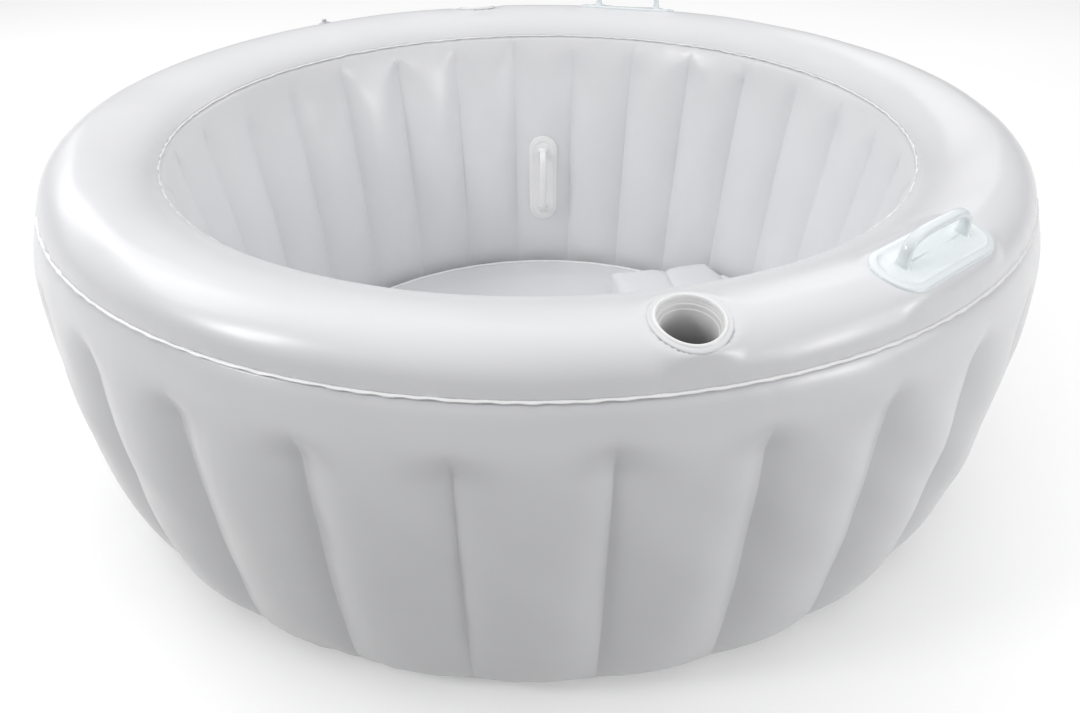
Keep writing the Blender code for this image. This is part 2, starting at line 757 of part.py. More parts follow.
def build_tub():
    vinyl = make_material("pale_vinyl", PALE_VINYL, 0.35)
    inner_vinyl = make_material("inner_web_vinyl", PALE_VINYL, 0.5)
    handle_vinyl = make_material("handle_vinyl", HANDLE_VINYL, 0.25)
    plastic = make_material("valve_plastic", VALVE_PLASTIC, 0.4)

    rim = build_rim(vinyl)
    wall = build_outer_wall(vinyl)
    build_inner_wall(vinyl)
    build_diaphragm(inner_vinyl)
    build_webs(inner_vinyl)
    build_base(vinyl)
    build_welt("outer_seam_welt", -WELT_OVERLAP, SEAM_Z, 1, vinyl)
    build_welt("inner_seam_welt", WELT_OVERLAP - WALL_WIDTH, INNER_SEAM_Z, -1, vinyl)
    build_welt("base_seam_welt", -WELT_OVERLAP - BASE_IN, BASE_SEAM_Z, 1, vinyl)
    floor = build_floor(vinyl)
    seat = build_seat(vinyl)
    build_cup_holder("cup_holder_front", -CUP_ANGLE, rim, vinyl)
    build_cup_holder("cup_holder_back", CUP_ANGLE, rim, vinyl)
    build_rim_handle("rim_handle_front", -RIM_HANDLE_ANGLE, handle_vinyl)
    build_rim_handle("rim_handle_back", RIM_HANDLE_ANGLE, handle_vinyl)
    build_wall_handle("wall_handle_back", WALL_HANDLE_RIB, handle_vinyl)
    build_wall_handle("wall_handle_front", RIBS - WALL_HANDLE_RIB, handle_vinyl)
    build_valves(rim, wall, floor, seat, plastic)


clear_scene()
build_tub()
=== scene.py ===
import json
import math

import bmesh
import bpy
import numpy as np
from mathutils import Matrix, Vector


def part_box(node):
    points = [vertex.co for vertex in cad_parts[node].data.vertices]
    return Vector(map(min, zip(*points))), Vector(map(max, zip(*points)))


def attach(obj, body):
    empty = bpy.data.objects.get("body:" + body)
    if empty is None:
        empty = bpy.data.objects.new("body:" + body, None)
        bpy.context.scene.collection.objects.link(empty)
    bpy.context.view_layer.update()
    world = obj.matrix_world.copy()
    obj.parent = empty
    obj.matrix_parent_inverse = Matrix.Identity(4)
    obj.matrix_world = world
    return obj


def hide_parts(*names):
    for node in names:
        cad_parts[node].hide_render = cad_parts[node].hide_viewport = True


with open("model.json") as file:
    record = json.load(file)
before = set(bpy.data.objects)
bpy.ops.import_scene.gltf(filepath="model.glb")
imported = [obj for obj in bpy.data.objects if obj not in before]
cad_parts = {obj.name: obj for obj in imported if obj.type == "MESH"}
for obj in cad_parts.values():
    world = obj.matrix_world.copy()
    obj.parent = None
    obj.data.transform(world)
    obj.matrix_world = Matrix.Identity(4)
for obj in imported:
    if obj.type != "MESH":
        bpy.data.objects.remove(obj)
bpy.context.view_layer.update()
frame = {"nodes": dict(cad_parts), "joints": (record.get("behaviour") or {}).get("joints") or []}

# The looks of an inflatable soaking tub of sheet vinyl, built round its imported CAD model. Each
# surface repeats the CAD formula at a finer step and adds what welded, inflated sheet shows:
# creases at the webs, pinched valley heads, puckers along the welds and slight unevenness.

# Seam ellipses and heights, read from the welts of the CAD model
WELT_OUT = 0.005
WELT_SINK = 0.001
outer_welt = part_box("outer_seam_welt")
inner_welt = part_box("inner_seam_welt")
base_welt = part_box("base_seam_welt")
SEAM_X = outer_welt[1].x - WELT_OUT
SEAM_Y = outer_welt[1].y - WELT_OUT
SEAM_Z = (outer_welt[0].z + outer_welt[1].z) / 2
INNER_SEAM_Z = (inner_welt[0].z + inner_welt[1].z) / 2
BASE_SEAM_Z = (base_welt[0].z + base_welt[1].z) / 2
BASE_IN = SEAM_X + WELT_OUT - base_welt[1].x
WALL_WIDTH = SEAM_X + WELT_SINK - inner_welt[1].x

# Dimensions in metres: the CAD model's own, and a few that only the finer surfaces use
FLOOR_IN = 0.070
FLOOR_Z = 0.030
FLOOR_CLEAR = 0.024
SEAT_BOW = 0.020
SEAT_HALF_WIDTH = 0.300
SEAT_TOP = 0.108
SEAT_WELDS = (0.385, 0.515)
RIBS = 28
OUTER_RIB_DEPTH = 0.050
INNER_RIB_DEPTH = 0.036
OUTER_SWELL_POWER = 0.50
INNER_SWELL_POWER = 0.75
OUTER_VALLEY_SHARE = 0.45
INNER_VALLEY_SHARE = 0.30
OUTER_VALLEY_Z = 0.515
INNER_VALLEY_Z = 0.570
RIM_MID = -0.070
RIM_OUT = 0.071
RIM_IN = 0.123
RIM_Z = 0.577
RIM_RISE = 0.065
FITTING_LINE = -0.058
SHEET = 0.0012
SEAM_GAP = 0.0020
WELT_HALF = 0.0008
CUP_ANGLE = math.radians(89.5)
CUP_RADIUS = 0.040
CUP_HOLE_CLEAR = 0.006
RIM_HANDLE_ANGLE = math.radians(62)
RIM_HANDLE_SIZE = (0.234, 0.084)
WALL_HANDLE_RIB = 6
WALL_HANDLE_Z = 0.255
WALL_HANDLE_SIZE = (0.220, 0.072)
GRIP_HALF = 0.073
GRIP_HEIGHT = 0.036
GRIP_FOOT = 0.0060
SCREW_HOLE = 0.0215
HOLE_REACH = 0.03

# Where a stiff fitting holds the rim flatter: (angle, half its straight run, half its width,
# the distance over which the rim takes its own curve again, how flat)
FLAT_SEATS = tuple(
    (side * angle, straight, reach, fade, share)
    for side in (-1, 1)
    for angle, straight, reach, fade, share in (
        (CUP_ANGLE, 0.0, 0.046, 0.026, 0.80),
        (RIM_HANDLE_ANGLE, 0.075, 0.036, 0.030, 0.75),
    )
)

# The valves, as (radius, height) about their own axes
SCREW_BASE = ((0.0265, 0.0), (0.0265, 0.0018), (0.0200, 0.0022), (0.0200, 0.0075),
              (0.0165, 0.0075), (0.0165, -0.0110), (0.0190, -0.0110), (0.0190, 0.0))
SCREW_TOP = 0.0110
SCREW_INSERT = ((0.0195, 0.0081), (0.0195, SCREW_TOP), (0.0062, SCREW_TOP),
                (0.0062, -0.0080), (0.0158, -0.0080), (0.0158, 0.0081))
PUSH_TOP = 0.0060
PUSH_BASE = ((0.0160, 0.0), (0.0160, 0.0014), (0.0095, 0.0018), (0.0095, PUSH_TOP),
             (0.0052, PUSH_TOP), (0.0052, -0.0120), (0.0085, -0.0120), (0.0085, 0.0))
# Their hinge lines: the distance from the axis, and the height above the top
SCREW_HINGE = 0.0225
PUSH_HINGE = 0.0135
HINGE_RISE = 0.0010

BODY = "tub"
ACROSS_STEPS = 20
chance = np.random.default_rng(11)


# ---------------------------------------------------------------- camera, light and floor


def add_camera():
    """A view down into the tub from close in front of it, a little left of the middle."""
    azimuth, elevation = math.radians(-12.5), math.radians(33.85)
    back = Vector((
        math.sin(azimuth) * math.cos(elevation),
        -math.cos(azimuth) * math.cos(elevation),
        math.sin(elevation),
    ))
    data = bpy.data.cameras.new("camera")
    data.lens = 30.37
    data.sensor_width = 36.0
    camera = bpy.data.objects.new("camera", data)
    camera.location = (-0.358, -1.614, 1.190)
    camera.rotation_mode = "QUATERNION"
    camera.rotation_quaternion = (-back).to_track_quat("-Z", "Y")
    bpy.context.scene.collection.objects.link(camera)
    bpy.context.scene.camera = camera


def add_softbox(name, place, aim, width, height, watts):
    """A soft rectangular lamp at a place, turned to face the aim."""
    data = bpy.data.lights.new(name, "AREA")
    data.shape = "RECTANGLE"
    data.size = width
    data.size_y = height
    data.energy = watts
    light = bpy.data.objects.new(name, data)
    light.location = place
    light.rotation_mode = "QUATERNION"
    light.rotation_quaternion = (Vector(aim) - Vector(place)).to_track_quat("-Z", "Y")
    bpy.context.scene.collection.objects.link(light)


def add_lights():
    """A small key light at the left, a broad one with a bright core low at the right, and fill.

    The backdrop is grey below the floor, dark at eye level, bright overhead and pale behind.
    """
    add_softbox("key_left", (-3.0, -1.1, 2.3), (0.0, 0.1, 0.4), 0.7, 0.7, 24)
    add_softbox("high_left", (-2.3, 0.9, 2.8), (-0.4, -0.2, 0.5), 2.0, 1.2, 15)
    add_softbox("low_right", (2.9, -2.6, 1.5), (0.2, -0.3, 0.5), 2.3, 1.6, 26)
    add_softbox("core_right", (2.4, -2.7, 1.35), (0.2, -0.8, 0.6), 0.7, 0.5, 9)
    add_softbox("back_left", (-2.4, 2.8, 2.2), (0.0, 0.0, 0.4), 1.5, 1.5, 10)
    add_softbox("back_right", (2.4, 2.6, 2.6), (0.0, 0.0, 0.4), 1.5, 1.5, 8)
    world = bpy.data.worlds.new("studio")
    world.use_nodes = True
    tree = world.node_tree
    place = tree.nodes.new("ShaderNodeTexCoord")
    split = tree.nodes.new("ShaderNodeSeparateXYZ")
    tree.links.new(place.outputs["Generated"], split.inputs["Vector"])
    height = tree.nodes.new("ShaderNodeMapRange")
    height.inputs["From Min"].default_value = -1.0
    tree.links.new(split.outputs["Z"], height.inputs["Value"])
    below = ramp_between(tree, height.outputs["Result"], grey(0.335), grey(0.0), 0.49, 0.51)
    above = ramp_between(tree, height.outputs["Result"], grey(0.0), grey(1.0), 0.575, 0.975)
    behind = ramp_between(tree, split.outputs["Y"], grey(0.0), grey(0.2), 0.0, 0.5)
    glow = below
    for layer in (above, behind):
        both = tree.nodes.new("ShaderNodeMix")
        both.data_type = "RGBA"
        both.blend_type = "ADD"
        both.inputs["Factor"].default_value = 1.0
        tree.links.new(glow, both.inputs["A"])
        tree.links.new(layer, both.inputs["B"])
        glow = both.outputs["Result"]
    tree.links.new(glow, tree.nodes["Background"].inputs["Color"])
    tree.nodes["Background"].inputs["Strength"].default_value = 1.12
    bpy.context.scene.world = world


def set_white_balance():
    """Plain colours, so that white vinyl stays white."""
    bpy.context.scene.view_settings.view_transform = "Standard"


def add_floor():
    """A white studio floor, left out of the soft bounce light so that the tub's foot stays grey."""
    half = 9.0
    mesh = bpy.data.meshes.new("studio_floor")
    corners = [(-half, -half, 0), (half, -half, 0), (half, half, 0), (-half, half, 0)]
    mesh.from_pydata(corners, [], [(0, 1, 2, 3)])
    floor = bpy.data.objects.new("studio_floor", mesh)
    bpy.context.scene.collection.objects.link(floor)
    shader, tree = new_material("studio_floor_paint")
    shader.inputs["Roughness"].default_value = 0.85
    shader.inputs["Emission Color"].default_value = (1.0, 1.0, 1.0, 1.0)
    shader.inputs["Emission Strength"].default_value = 0.10
    tint = noise_between(tree, 0.7, grey(0.93), grey(0.96))
    tree.links.new(tint, shader.inputs["Base Color"])
    mesh.materials.append(bpy.data.materials["studio_floor_paint"])
    floor.visible_diffuse = False


# ---------------------------------------------------------------- materials


def new_material(name):
    material = bpy.data.materials.new(name)
    material.use_nodes = True
    return material.node_tree.nodes["Principled BSDF"], material.node_tree


def place_noise(tree, scale, detail=3.0):
    """Noise in object space: scale is the number of blobs in a metre."""
    place = tree.nodes.new("ShaderNodeTexCoord")
    noise = tree.nodes.new("ShaderNodeTexNoise")
    noise.inputs["Scale"].default_value = scale
    noise.inputs["Detail"].default_value = detail
    tree.links.new(place.outputs["Object"], noise.inputs["Vector"])
    return noise.outputs["Fac"]


def ramp_between(tree, factor, first, second, low=0.3, high=0.7):
    """A colour or a grey between two values, as the factor runs from low to high."""
    ramp = tree.nodes.new("ShaderNodeValToRGB")
    for element, position, color in zip(ramp.color_ramp.elements, (low, high), (first, second)):
        element.position = position
        element.color = (*color, 1.0)
    tree.links.new(factor, ramp.inputs["Fac"])
    return ramp.outputs["Color"]


def noise_between(tree, scale, first, second, detail=3.0):
    return ramp_between(tree, place_noise(tree, scale, detail), first, second)


def grey(value):
    return (value, value, value)


def add_bumps(tree, shader, layers):
    """Stacks bump layers of (height, distance in metres, strength)."""
    normal = None
    for height, distance, strength in layers:
        bump = tree.nodes.new("ShaderNodeBump")
        bump.inputs["Distance"].default_value = distance
        bump.inputs["Strength"].default_value = strength
        tree.links.new(height, bump.inputs["Height"])
        if normal is not None:
            tree.links.new(normal, bump.inputs["Normal"])
        normal = bump.outputs["Normal"]
    tree.links.new(normal, shader.inputs["Normal"])


def vinyl_material(name, pale, deep, rough_low, rough_high):
    """Calendered vinyl sheet: near even white, a satin skin with fine grain and slack waves."""
    shader, tree = new_material(name)
    tree.links.new(noise_between(tree, 5.0, deep, pale), shader.inputs["Base Color"])
    rough = noise_between(tree, 22.0, grey(rough_low), grey(rough_high), detail=6.0)
    tree.links.new(rough, shader.inputs["Roughness"])
    shader.inputs["IOR"].default_value = 1.52
    shader.inputs["Coat Weight"].default_value = 0.25
    shader.inputs["Coat Roughness"].default_value = 0.18
    add_bumps(tree, shader, (
        (place_noise(tree, 9.0, 2.0), 0.004, 0.18),
        (place_noise(tree, 1400.0, 2.0), 0.00010, 0.35),
    ))
    return bpy.data.materials[name]


def painted_shade_pocket_material(name):
    """Vinyl of the cup pockets with painted shade: pale by the lip, painted darker grey further
    down where shade falls.
    """
    shader, tree = new_material(name)
    place = tree.nodes.new("ShaderNodeTexCoord")
    split = tree.nodes.new("ShaderNodeSeparateXYZ")
    tree.links.new(place.outputs["Object"], split.inputs["Vector"])
    height = tree.nodes.new("ShaderNodeMapRange")
    height.inputs["From Min"].default_value = RIM_Z + RIM_RISE - 0.062
    height.inputs["From Max"].default_value = RIM_Z + RIM_RISE - 0.006
    tree.links.new(split.outputs["Z"], height.inputs["Value"])
    # Painted shade: the base colour runs from light grey at the lip to dark grey deep in the pocket
    tint = ramp_between(tree, height.outputs["Result"], grey(0.21), grey(0.76), 0.0, 1.0)
    mottle = tree.nodes.new("ShaderNodeMix")
    mottle.data_type = "RGBA"
    mottle.blend_type = "MULTIPLY"
    mottle.inputs["Factor"].default_value = 1.0
    tree.links.new(tint, mottle.inputs["A"])
    tree.links.new(noise_between(tree, 30.0, grey(0.95), grey(1.0)), mottle.inputs["B"])
    tree.links.new(mottle.outputs["Result"], shader.inputs["Base Color"])
    rough = noise_between(tree, 60.0, grey(0.40), grey(0.50))
    tree.links.new(rough, shader.inputs["Roughness"])
    shader.inputs["Coat Weight"].default_value = 0.25
    shader.inputs["Coat Roughness"].default_value = 0.16
    add_bumps(tree, shader, ((place_noise(tree, 900.0, 2.0), 0.00010, 0.3),))
    return bpy.data.materials[name]


def plastic_material(name, pale, deep, rough_low, rough_high):
    """Moulded soft plastic of the handles and valves: even, glossy, with a faint orange peel."""
    shader, tree = new_material(name)
    tree.links.new(noise_between(tree, 30.0, deep, pale), shader.inputs["Base Color"])
    rough = noise_between(tree, 160.0, grey(rough_low), grey(rough_high))
    tree.links.new(rough, shader.inputs["Roughness"])
    shader.inputs["IOR"].default_value = 1.53
    shader.inputs["Coat Weight"].default_value = 0.35
    shader.inputs["Coat Roughness"].default_value = 0.10
    add_bumps(tree, shader, (
        (place_noise(tree, 120.0, 2.0), 0.0002, 0.20),
        (place_noise(tree, 900.0, 3.0), 0.00008, 0.35),
    ))
    return bpy.data.materials[name]


# ---------------------------------------------------------------- mesh helpers


def grid_faces(rows, columns, wrap_rows=False, wrap_columns=True):
    """Quads of a grid of rows by columns, closed round where it wraps."""
    row = np.arange(rows if wrap_rows else rows - 1)[:, None]
    column = np.arange(columns if wrap_columns else columns - 1)[None, :]
    above = (row + 1) % rows
    beside = (column + 1) % columns
    corners = (row * columns + column, row * columns + beside,
               above * columns + beside, above * columns + column)
    return np.stack(np.broadcast_arrays(*corners), -1).reshape(-1, 4)


def make_piece(name, points, faces, material, slot, nodes, body=BODY, sharp=50.0, flip=False,
               closed=False):
    """A smooth shaded mesh that rides on a body and stands for CAD nodes."""
    mesh = bpy.data.meshes.new(name)
    corners = [tuple(face)[::-1] if flip else tuple(face) for face in faces]
    mesh.from_pydata(np.asarray(points).reshape(-1, 3).tolist(), [], corners)
    if closed:
        join_up(mesh)
    mesh.shade_smooth()
    mesh.set_sharp_from_angle(angle=math.radians(sharp))
    mesh.materials.append(material)
    piece = bpy.data.objects.new(name, mesh)
    bpy.context.scene.collection.objects.link(piece)
    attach(piece, body)
    if nodes:
        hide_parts(*nodes)
    return piece


def join_up(mesh):
    """Makes one corner of corners that lie together, and turns every face outwards."""
    work = bmesh.new()
    work.from_mesh(mesh)
    bmesh.ops.remove_doubles(work, verts=work.verts, dist=1e-6)
    bmesh.ops.recalc_face_normals(work, faces=work.faces)
    work.to_mesh(mesh)
    work.free()


def thicken(piece):
    """Gives a skin the thickness of the sheet, on its inner side."""
    solidify = piece.modifiers.new("sheet", "SOLIDIFY")
    solidify.thickness = SHEET
    solidify.offset = -1.0
    solidify.use_even_offset = False


def open_round_hole(points, faces, centre, axis, radius, reach):
    """Takes away the faces inside a round hole, and draws the edge that is left to its circle."""
    axis = np.array(axis)
    arm = points - np.array(centre)
    along = arm @ axis
    flat = arm - along[:, None] * axis
    distance = np.linalg.norm(flat, axis=1)
    near = np.abs(along) < reach
    inside = near & (distance < radius)
    cut = inside[faces].any(axis=1)
    kept = faces[~cut]
    edge = np.intersect1d(faces[cut], kept)
    edge = edge[near[edge]]
    points[edge] += flat[edge] * (radius / distance[edge] - 1)[:, None]
    used = np.unique(kept)
    renumbered = np.zeros(len(points), int)
    renumbered[used] = np.arange(len(used))
    return points[used], renumbered[kept]


# ---------------------------------------------------------------- plan and section curves


def equal_arc_angle(share):
    """The angle that is this share of the way round the seam ellipse, from +X."""
    fine = np.linspace(0.0, 2 * math.pi, 3601)
    steps = np.hypot(SEAM_X * np.diff(np.cos(fine)), SEAM_Y * np.diff(np.sin(fine)))
    length = np.concatenate([[0.0], np.cumsum(steps)])
    return np.interp(np.asarray(share) * length[-1], length, fine)


def ring_points(angle, offset, z):
    """Points at a height on the seam ellipse with both its half axes longer by an offset."""
    angle, offset, z = np.broadcast_arrays(angle, offset, z)
    return np.stack(
        [(SEAM_X + offset) * np.cos(angle), (SEAM_Y + offset) * np.sin(angle), z], axis=-1
    )


def smooth_step(low, high, value):
    t = np.clip((value - low) / (high - low), 0.0, 1.0)
    return t * t * (3 - 2 * t)


def swell(share, power):
    """How far an inflated panel stands out between two welds: 0 at both, 1 half way."""
    return np.maximum(4 * share * (1 - share), 0.0) ** power


def plan_offset(x, y):
    """Offset of the ring that passes through each plan point."""
    low, high = np.full(np.shape(x), -0.5), np.full(np.shape(x), 0.2)
    for _ in range(40):
        middle = (low + high) / 2
        outside = (x / (SEAM_X + middle)) ** 2 + (y / (SEAM_Y + middle)) ** 2 > 1
        low, high = np.where(outside, middle, low), np.where(outside, high, middle)
    return low


def tube_height(x, y):
    """Height of the rim's top surface over plan points, before any fitting stiffens it."""
    across = plan_offset(x, y) - RIM_MID
    half = np.where(across > 0, RIM_OUT, RIM_IN)
    return RIM_Z + RIM_RISE * np.sqrt(np.maximum(1 - (across / half) ** 2, 0.0))


def seat_frame(angle):
    """(centre, along the rim, outwards) of a fitting on the rim at this angle."""
    centre = ring_points(angle, FITTING_LINE, 0.0)
    ahead = unit(ring_points(angle + 0.01, FITTING_LINE, 0.0) - centre)
    return centre, ahead, np.array([ahead[1], -ahead[0], 0.0])


def seat_plane(angle, half_along, half_across):
    """(height at the centre, rise along, rise outwards) of the plane nearest to the tube."""
    centre, ahead, aside = seat_frame(angle)
    along, across = np.meshgrid(np.linspace(-1, 1, 9), np.linspace(-1, 1, 9))
    inside = along ** 2 + across ** 2 <= 1.01
    along, across = along[inside] * half_along, across[inside] * half_across
    spots = centre + ahead * along[:, None] + aside * across[:, None]
    sides = np.stack([np.ones(len(along)), along, across], axis=-1)
    return np.linalg.lstsq(sides, tube_height(spots[:, 0], spots[:, 1]), rcond=None)[0]


def rim_height(x, y):
    """Height of the rim's top surface where cup flanges and handle plates hold it flatter."""
    x, y = np.asarray(x, float), np.asarray(y, float)
    height = tube_height(x, y)
    for angle, straight, reach, fade, share in FLAT_SEATS:
        centre, ahead, aside = seat_frame(angle)
        level, rise_along, rise_across = seat_plane(angle, straight + reach, reach)
        along = (x - centre[0]) * ahead[0] + (y - centre[1]) * ahead[1]
        across = (x - centre[0]) * aside[0] + (y - centre[1]) * aside[1]
        beyond = np.hypot(np.maximum(np.abs(along) - straight, 0.0), across) - reach
        hold = share * (1 - smooth_step(0.0, fade, beyond))
        flat = level + rise_along * along + rise_across * across
        height = height + hold * (flat - height)
    return height


def wandering(share, lowest, highest, size):
    """An uneven wave round the ring: sines of several counts with chance phases."""
    total = np.zeros(np.shape(share))
    for count in range(lowest, highest):
        strength = chance.normal() * size / math.sqrt(highest - lowest)
        total = total + strength * np.sin(2 * math.pi * (count * share + chance.random()))
    return total


# ---------------------------------------------------------------- ribbed walls


def rib_columns():
    """(share of the way round, place across its rib from -1 to 1), closer together at creases."""
    steps = np.arange(ACROSS_STEPS) / ACROSS_STEPS * 2 - 1
    across = np.sin(steps * math.pi / 2)
    rib = np.repeat(np.arange(RIBS), ACROSS_STEPS)
    across = np.tile(across, RIBS)
    return (rib + across / 2) / RIBS % 1.0, across


def valley_numbers(share):
    """Which valley each column is nearest to, and how far round from it in turns."""
    turns = share * RIBS - 0.5
    nearest = np.round(turns)
    return nearest.astype(int) % RIBS, (turns - nearest) / RIBS


def valley_depth(across, z, head_z, valley_share):
    """The share of a bulge that the web takes away, narrowing to its end at head_z."""
    fade = 1 - smooth_step(head_z - 0.046, head_z + 0.010, z)
    return (1 - valley_share) * fade * np.abs(across) ** 2.3


def head_dimples(share, z, head_z, perimeter, depth, wide, tall, folded):
    """The soft pit where a web's end pulls the sheet in, and the folds that fan out from it."""
    valley, away = valley_numbers(share)
    along = (away * perimeter)[None, :]
    sunk = depth * (1 + 0.25 * chance.normal(size=RIBS))[valley][None, :]
    up = z - head_z + 0.55 * tall
    pit = sunk * np.exp(-((along / wide) ** 2)) * np.exp(-((up / tall) ** 2))
    turn = np.arctan2(z - head_z, along)
    reach = np.hypot(along, z - head_z)
    folds = chance.integers(5, 9, size=RIBS)[valley][None, :]
    size = folded * chance.uniform(0.3, 1.0, size=RIBS)[valley][None, :]
    phase = (chance.random(RIBS) * 2 * math.pi)[valley][None, :]
    fade = np.exp(-((reach / 0.022) ** 2)) * np.minimum(reach / 0.008, 1.0)
    return -pit + size * fade * np.sin(folds * turn + phase)


def weld_puckers(share, distance, size, reach, finest):
    """Short wrinkles that stand at right angles to a weld and die away from it."""
    wave = wandering(share, finest // 3, finest, 1.0)
    patchy = 0.55 + 0.45 * np.sin(2 * math.pi * (5 * share + chance.random()))
    return size * wave * patchy * np.exp(-distance / reach)


def inner_wall_offset(across, z):
    share = z / INNER_SEAM_Z
    rib = 1 - valley_depth(across, z, INNER_VALLEY_Z, INNER_VALLEY_SHARE)
    bulge = INNER_RIB_DEPTH * swell(share, INNER_SWELL_POWER) * rib
    return -WALL_WIDTH - FLOOR_IN * (1 - share) - bulge


def build_outer_wall(material):
    """The ribbed outer skin, which leans out from the base seam to the rim."""
    share, across = rib_columns()
    rows = 78
    t = np.linspace(0.0, 1.0, rows)[:, None]
    low, high = BASE_SEAM_Z + WELT_HALF, SEAM_Z - WELT_HALF
    z = low + (high - low) * (t - 0.15 * np.sin(2 * math.pi * t) / math.pi)
    angle = equal_arc_angle(share)[None, :]
    valley, _ = valley_numbers(share)
    head_z = OUTER_VALLEY_Z + (chance.normal(size=RIBS) * 0.008)[valley][None, :]
    height_share = (z - BASE_SEAM_Z) / (SEAM_Z - BASE_SEAM_Z)
    between = swell(height_share, OUTER_SWELL_POWER) * (1 - 0.60 * np.exp(-(SEAM_Z - z) / 0.034))
    depth = OUTER_RIB_DEPTH * (1 + 0.025 * chance.normal(size=RIBS))[valley][None, :]
    depth = depth * np.abs(across) + OUTER_RIB_DEPTH * (1 - np.abs(across))
    rib_shape = 1 - valley_depth(across, z, head_z, OUTER_VALLEY_SHARE)
    offset = -BASE_IN * (1 - height_share) + depth * between * rib_shape
    offset = offset + between * wandering(share + 0.11 * height_share, 9, 46, 0.0010)
    offset = offset + head_dimples(share, z, head_z, perimeter=5.4, depth=0.0030, wide=0.024,
                                   tall=0.022, folded=0.0)
    offset = offset + weld_puckers(share, SEAM_Z - z, size=0.0010, reach=0.015, finest=190)
    offset = offset + weld_puckers(share, z - BASE_SEAM_Z, size=0.0017, reach=0.018, finest=150)
    offset = offset - (offset + WELT_SINK) * np.exp(-(SEAM_Z - WELT_HALF - z) / 0.0035)
    points = ring_points(angle, offset, z).reshape(-1, 3)
    faces = grid_faces(rows, len(share))
    valve = joint_place("wall_valve_unscrew")
    points, faces = open_round_hole(points, faces, *valve, SCREW_HOLE, HOLE_REACH)
    wall = make_piece("outer_wall", points, faces, material, "pale_vinyl", ["outer_wall_skin"],
                      sharp=70)
    thicken(wall)


def build_inner_wall(material):
    """The ribbed inner skin, from under the floor pad up to the rim."""
    share, across = rib_columns()
    rows = 72
    t = np.linspace(0.0, 1.0, rows)[:, None]
    low, high = SHEET + 2 * SEAM_GAP, INNER_SEAM_Z - WELT_HALF
    z = low + (high - low) * t
    angle = equal_arc_angle(share)[None, :]
    valley, _ = valley_numbers(share)
    head_z = INNER_VALLEY_Z - 0.010 + (chance.normal(size=RIBS) * 0.005)[valley][None, :]
    height_share = z / INNER_SEAM_Z
    between = swell(height_share, INNER_SWELL_POWER)
    rib_shape = 1 - valley_depth(across, z, head_z, INNER_VALLEY_SHARE)
    offset = -WALL_WIDTH - FLOOR_IN * (1 - height_share) - INNER_RIB_DEPTH * between * rib_shape
    offset = offset + between * wandering(share + 0.07 * height_share, 9, 46, 0.0008)
    offset = offset - head_dimples(share, z, head_z, perimeter=4.2, depth=0.0050, wide=0.014,
                                   tall=0.020, folded=0.0013)
    offset = offset + weld_puckers(share, INNER_SEAM_Z - z, size=0.0009, reach=0.014, finest=170)
    points = ring_points(angle, offset, z).reshape(-1, 3)
    faces = grid_faces(rows, len(share))
    wall = make_piece("inner_wall", points, faces, material, "pale_vinyl", ["inner_wall_skin"],
                      sharp=70, flip=True)
    thicken(wall)


# ---------------------------------------------------------------- rim, base and welts


def cup_centre(side):
    """The middle of a cup's opening: side is -1 at the front and 1 at the back."""
    return ring_points(side * CUP_ANGLE, FITTING_LINE, RIM_Z + RIM_RISE)


def build_rim(material):
    """The broad top tube, from seam to seam, with holes for both cup holders and the valve."""
    rows, columns = 56, 800
    share = np.arange(columns) / columns
    angle = equal_arc_angle(share)[None, :]
    start = math.asin((SEAM_Z + WELT_HALF - RIM_Z) / RIM_RISE)
    end = math.pi - math.asin((INNER_SEAM_Z + WELT_HALF - RIM_Z) / RIM_RISE)
    turn = np.linspace(start, end, rows)[:, None]
    half = np.where(np.cos(turn) > 0, RIM_OUT, RIM_IN)
    offset = RIM_MID + half * np.cos(turn)
    z = RIM_Z + RIM_RISE * np.sin(turn)
    middle = np.sin(math.pi * (turn - start) / (end - start))
    lift = middle * wandering(share + 0.05 * turn, 5, 24, 0.0005)
    from_outer, from_inner = (turn - start) * 0.10, (end - turn) * 0.09
    lift = lift + weld_puckers(share, from_outer, size=0.0009, reach=0.014, finest=190)
    lift = lift + weld_puckers(share, from_inner, size=0.0008, reach=0.012, finest=170)
    offset = offset + lift * np.cos(turn)
    z = z + lift * np.sin(turn)
    points = ring_points(angle, offset, z).reshape(-1, 3)
    x, y, _ = points.T
    upper = smooth_step(0.15, 0.55, np.broadcast_to(np.sin(turn), (rows, columns)).ravel())
    points[:, 2] += upper * (rim_height(x, y) - tube_height(x, y))
    faces = grid_faces(rows, columns)
    cup_hole, up = CUP_RADIUS + CUP_HOLE_CLEAR, (0, 0, 1)
    for side in (-1, 1):
        points, faces = open_round_hole(points, faces, cup_centre(side), up, cup_hole, reach=0.05)
    valve = joint_place("rim_valve_unscrew")
    points, faces = open_round_hole(points, faces, *valve, SCREW_HOLE, HOLE_REACH)
    rim = make_piece("rim", points, faces, material, "pale_vinyl", ["rim_skin"], sharp=70)
    thicken(rim)


def joint_place(name):
    """(a point on the axis, the axis) of a joint of the CAD model."""
    for joint in frame["joints"]:
        if joint["name"] == name:
            return np.array(joint["pos_m"]), np.array(Vector(joint["axis"]).normalized())
    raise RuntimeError(f"there is no joint named {name}")


def build_welt(name, node, offset, z, outwards, width, waves, material):
    """The flat welded edge of a seam, with the small waves and nicks of a hand-fed weld."""
    columns = 900
    share = np.arange(columns) / columns
    angle = equal_arc_angle(share)
    rise = wandering(share, 20, 170, waves)
    reach = width * (1 + wandering(share, 30, 200, 0.07))
    section = ((-0.40, -0.0014), (0.30, -0.0015), (0.80, -0.0010), (1.0, -0.0004), (1.0, 0.0004),
               (0.86, 0.0011), (0.40, 0.0016), (-0.40, 0.0020))
    rings = []
    for across, up in section:
        here = offset + outwards * across * reach
        rings.append(ring_points(angle, here, z + up + rise * across))
    points = np.stack(rings, axis=1)
    faces = grid_faces(columns, len(section), wrap_rows=True)
    make_piece(name, points, faces, material, "pale_vinyl", [node], sharp=60, flip=outwards > 0)


